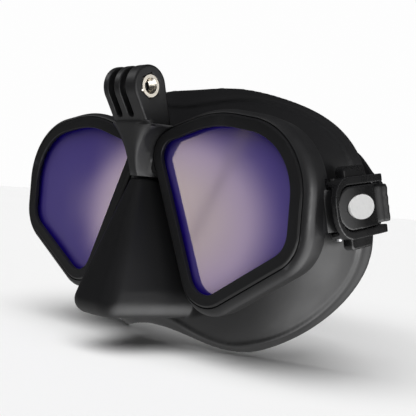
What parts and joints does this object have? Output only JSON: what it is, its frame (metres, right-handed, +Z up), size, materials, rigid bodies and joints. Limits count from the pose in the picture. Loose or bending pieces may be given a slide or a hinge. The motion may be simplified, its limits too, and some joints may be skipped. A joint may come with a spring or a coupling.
{
  "type": "diving mask",
  "caption": "Twin-lens diving mask with silicone skirt and nose pocket, swivelling quick-release strap buckles and a three-prong camera mount on the bridge.",
  "frame": {"origin": "middle of the camera bore, at the centre of the middle prong", "axes": "+X to the wearer's left, -Y forwards out of the lenses, +Z up"},
  "size_m": [0.1638, 0.1141, 0.1011],
  "materials": {
    "frame_plastic": "soft satin moulded",
    "mount_plastic": "fine matte moulded",
    "bezel_plastic": "satin moulded",
    "nut_metal": "nickel plated",
    "skirt_silicone": "frosted silicone",
    "strap_silicone": "frosted silicone",
    "coated_glass": "purple mirror coating",
    "buckle_plastic": "semi-gloss moulded",
    "button_plastic": "semi-gloss moulded",
    "badge_plastic": "plain white",
    "roller_plastic": "matte acetal",
    "pin_steel": "drawn wire",
    "spring_steel": "drawn wire"
  },
  "bodies": {
    "root": {"frame_shell": "frame_plastic", "lens_bezel_left": "bezel_plastic", "lens_bezel_right": "bezel_plastic", "lens_left": "coated_glass", "lens_right": "coated_glass", "skirt": "skirt_silicone", "camera_mount": "mount_plastic", "mount_nut": "nut_metal", "strap": "strap_silicone"},
    "buckle_left": {"buckle_body_left": "buckle_plastic", "buckle_cover_left": "buckle_plastic", "buckle_badge_left": "badge_plastic", "swivel_pin_left": "pin_steel", "roller_pin_left": "pin_steel", "spring_upper_left": "spring_steel", "spring_lower_left": "spring_steel", "strap_end_left": "strap_silicone"},
    "upper_button_left": {"button_upper_left": "button_plastic"},
    "lower_button_left": {"button_lower_left": "button_plastic"},
    "lock_left": {"strap_lock_left": "roller_plastic"},
    "roller_left": {"strap_roller_left": "roller_plastic"},
    "buckle_right": {"buckle_body_right": "buckle_plastic", "buckle_cover_right": "buckle_plastic", "buckle_badge_right": "badge_plastic", "swivel_pin_right": "pin_steel", "roller_pin_right": "pin_steel", "spring_upper_right": "spring_steel", "spring_lower_right": "spring_steel", "strap_end_right": "strap_silicone"},
    "upper_button_right": {"button_upper_right": "button_plastic"},
    "lower_button_right": {"button_lower_right": "button_plastic"},
    "lock_right": {"strap_lock_right": "roller_plastic"},
    "roller_right": {"strap_roller_right": "roller_plastic"}
  },
  "joints": [
    {"name": "buckle_swivel_left", "type": "hinge", "parent": "root", "child": "buckle_left", "pos_m": [0.07545, 0.02153, -0.03817], "axis": [0.1478, 0.1376, -0.9794], "range_deg": [-3, 20]},
    {"name": "button_upper_left", "type": "slide", "parent": "buckle_left", "child": "upper_button_left", "axis": [0.1478, 0.1376, -0.9794], "range_m": [0, 0.002], "stiffness_N_per_m": 400, "springref_m": -0.002, "deforming": ["spring_upper_left"]},
    {"name": "button_lower_left", "type": "slide", "parent": "buckle_left", "child": "lower_button_left", "axis": [-0.1478, -0.1376, 0.9794], "range_m": [0, 0.002], "stiffness_N_per_m": 400, "springref_m": -0.002, "deforming": ["spring_lower_left"]},
    {"name": "strap_lock_left", "type": "slide", "parent": "buckle_left", "child": "lock_left", "axis": [0, -0.9903, -0.1392], "range_m": [0, 0.0012]},
    {"name": "strap_roller_left", "type": "hinge", "parent": "buckle_left", "child": "roller_left", "pos_m": [0.07624, 0.04281, -0.03506], "axis": [-0.1478, -0.1376, 0.9794], "continuous": true},
    {"name": "buckle_swivel_right", "type": "hinge", "parent": "root", "child": "buckle_right", "pos_m": [-0.07545, 0.02153, -0.03817], "axis": [0.1478, -0.1376, 0.9794], "range_deg": [-3, 20]},
    {"name": "button_upper_right", "type": "slide", "parent": "buckle_right", "child": "upper_button_right", "axis": [-0.1478, 0.1376, -0.9794], "range_m": [0, 0.002], "stiffness_N_per_m": 400, "springref_m": -0.002, "deforming": ["spring_upper_right"]},
    {"name": "button_lower_right", "type": "slide", "parent": "buckle_right", "child": "lower_button_right", "axis": [0.1478, -0.1376, 0.9794], "range_m": [0, 0.002], "stiffness_N_per_m": 400, "springref_m": -0.002, "deforming": ["spring_lower_right"]},
    {"name": "strap_lock_right", "type": "slide", "parent": "buckle_right", "child": "lock_right", "axis": [0, -0.9903, -0.1392], "range_m": [0, 0.0012]},
    {"name": "strap_roller_right", "type": "hinge", "parent": "buckle_right", "child": "roller_right", "pos_m": [-0.07624, 0.04281, -0.03506], "axis": [-0.1478, 0.1376, -0.9794], "continuous": true}
  ],
  "couplings": [
    {"joint": "button_lower_left", "follows": "button_upper_left", "ratio": 1},
    {"joint": "strap_lock_left", "follows": "button_upper_left", "ratio": 0.6},
    {"joint": "button_lower_right", "follows": "button_upper_right", "ratio": 1},
    {"joint": "strap_lock_right", "follows": "button_upper_right", "ratio": 0.6}
  ]
}
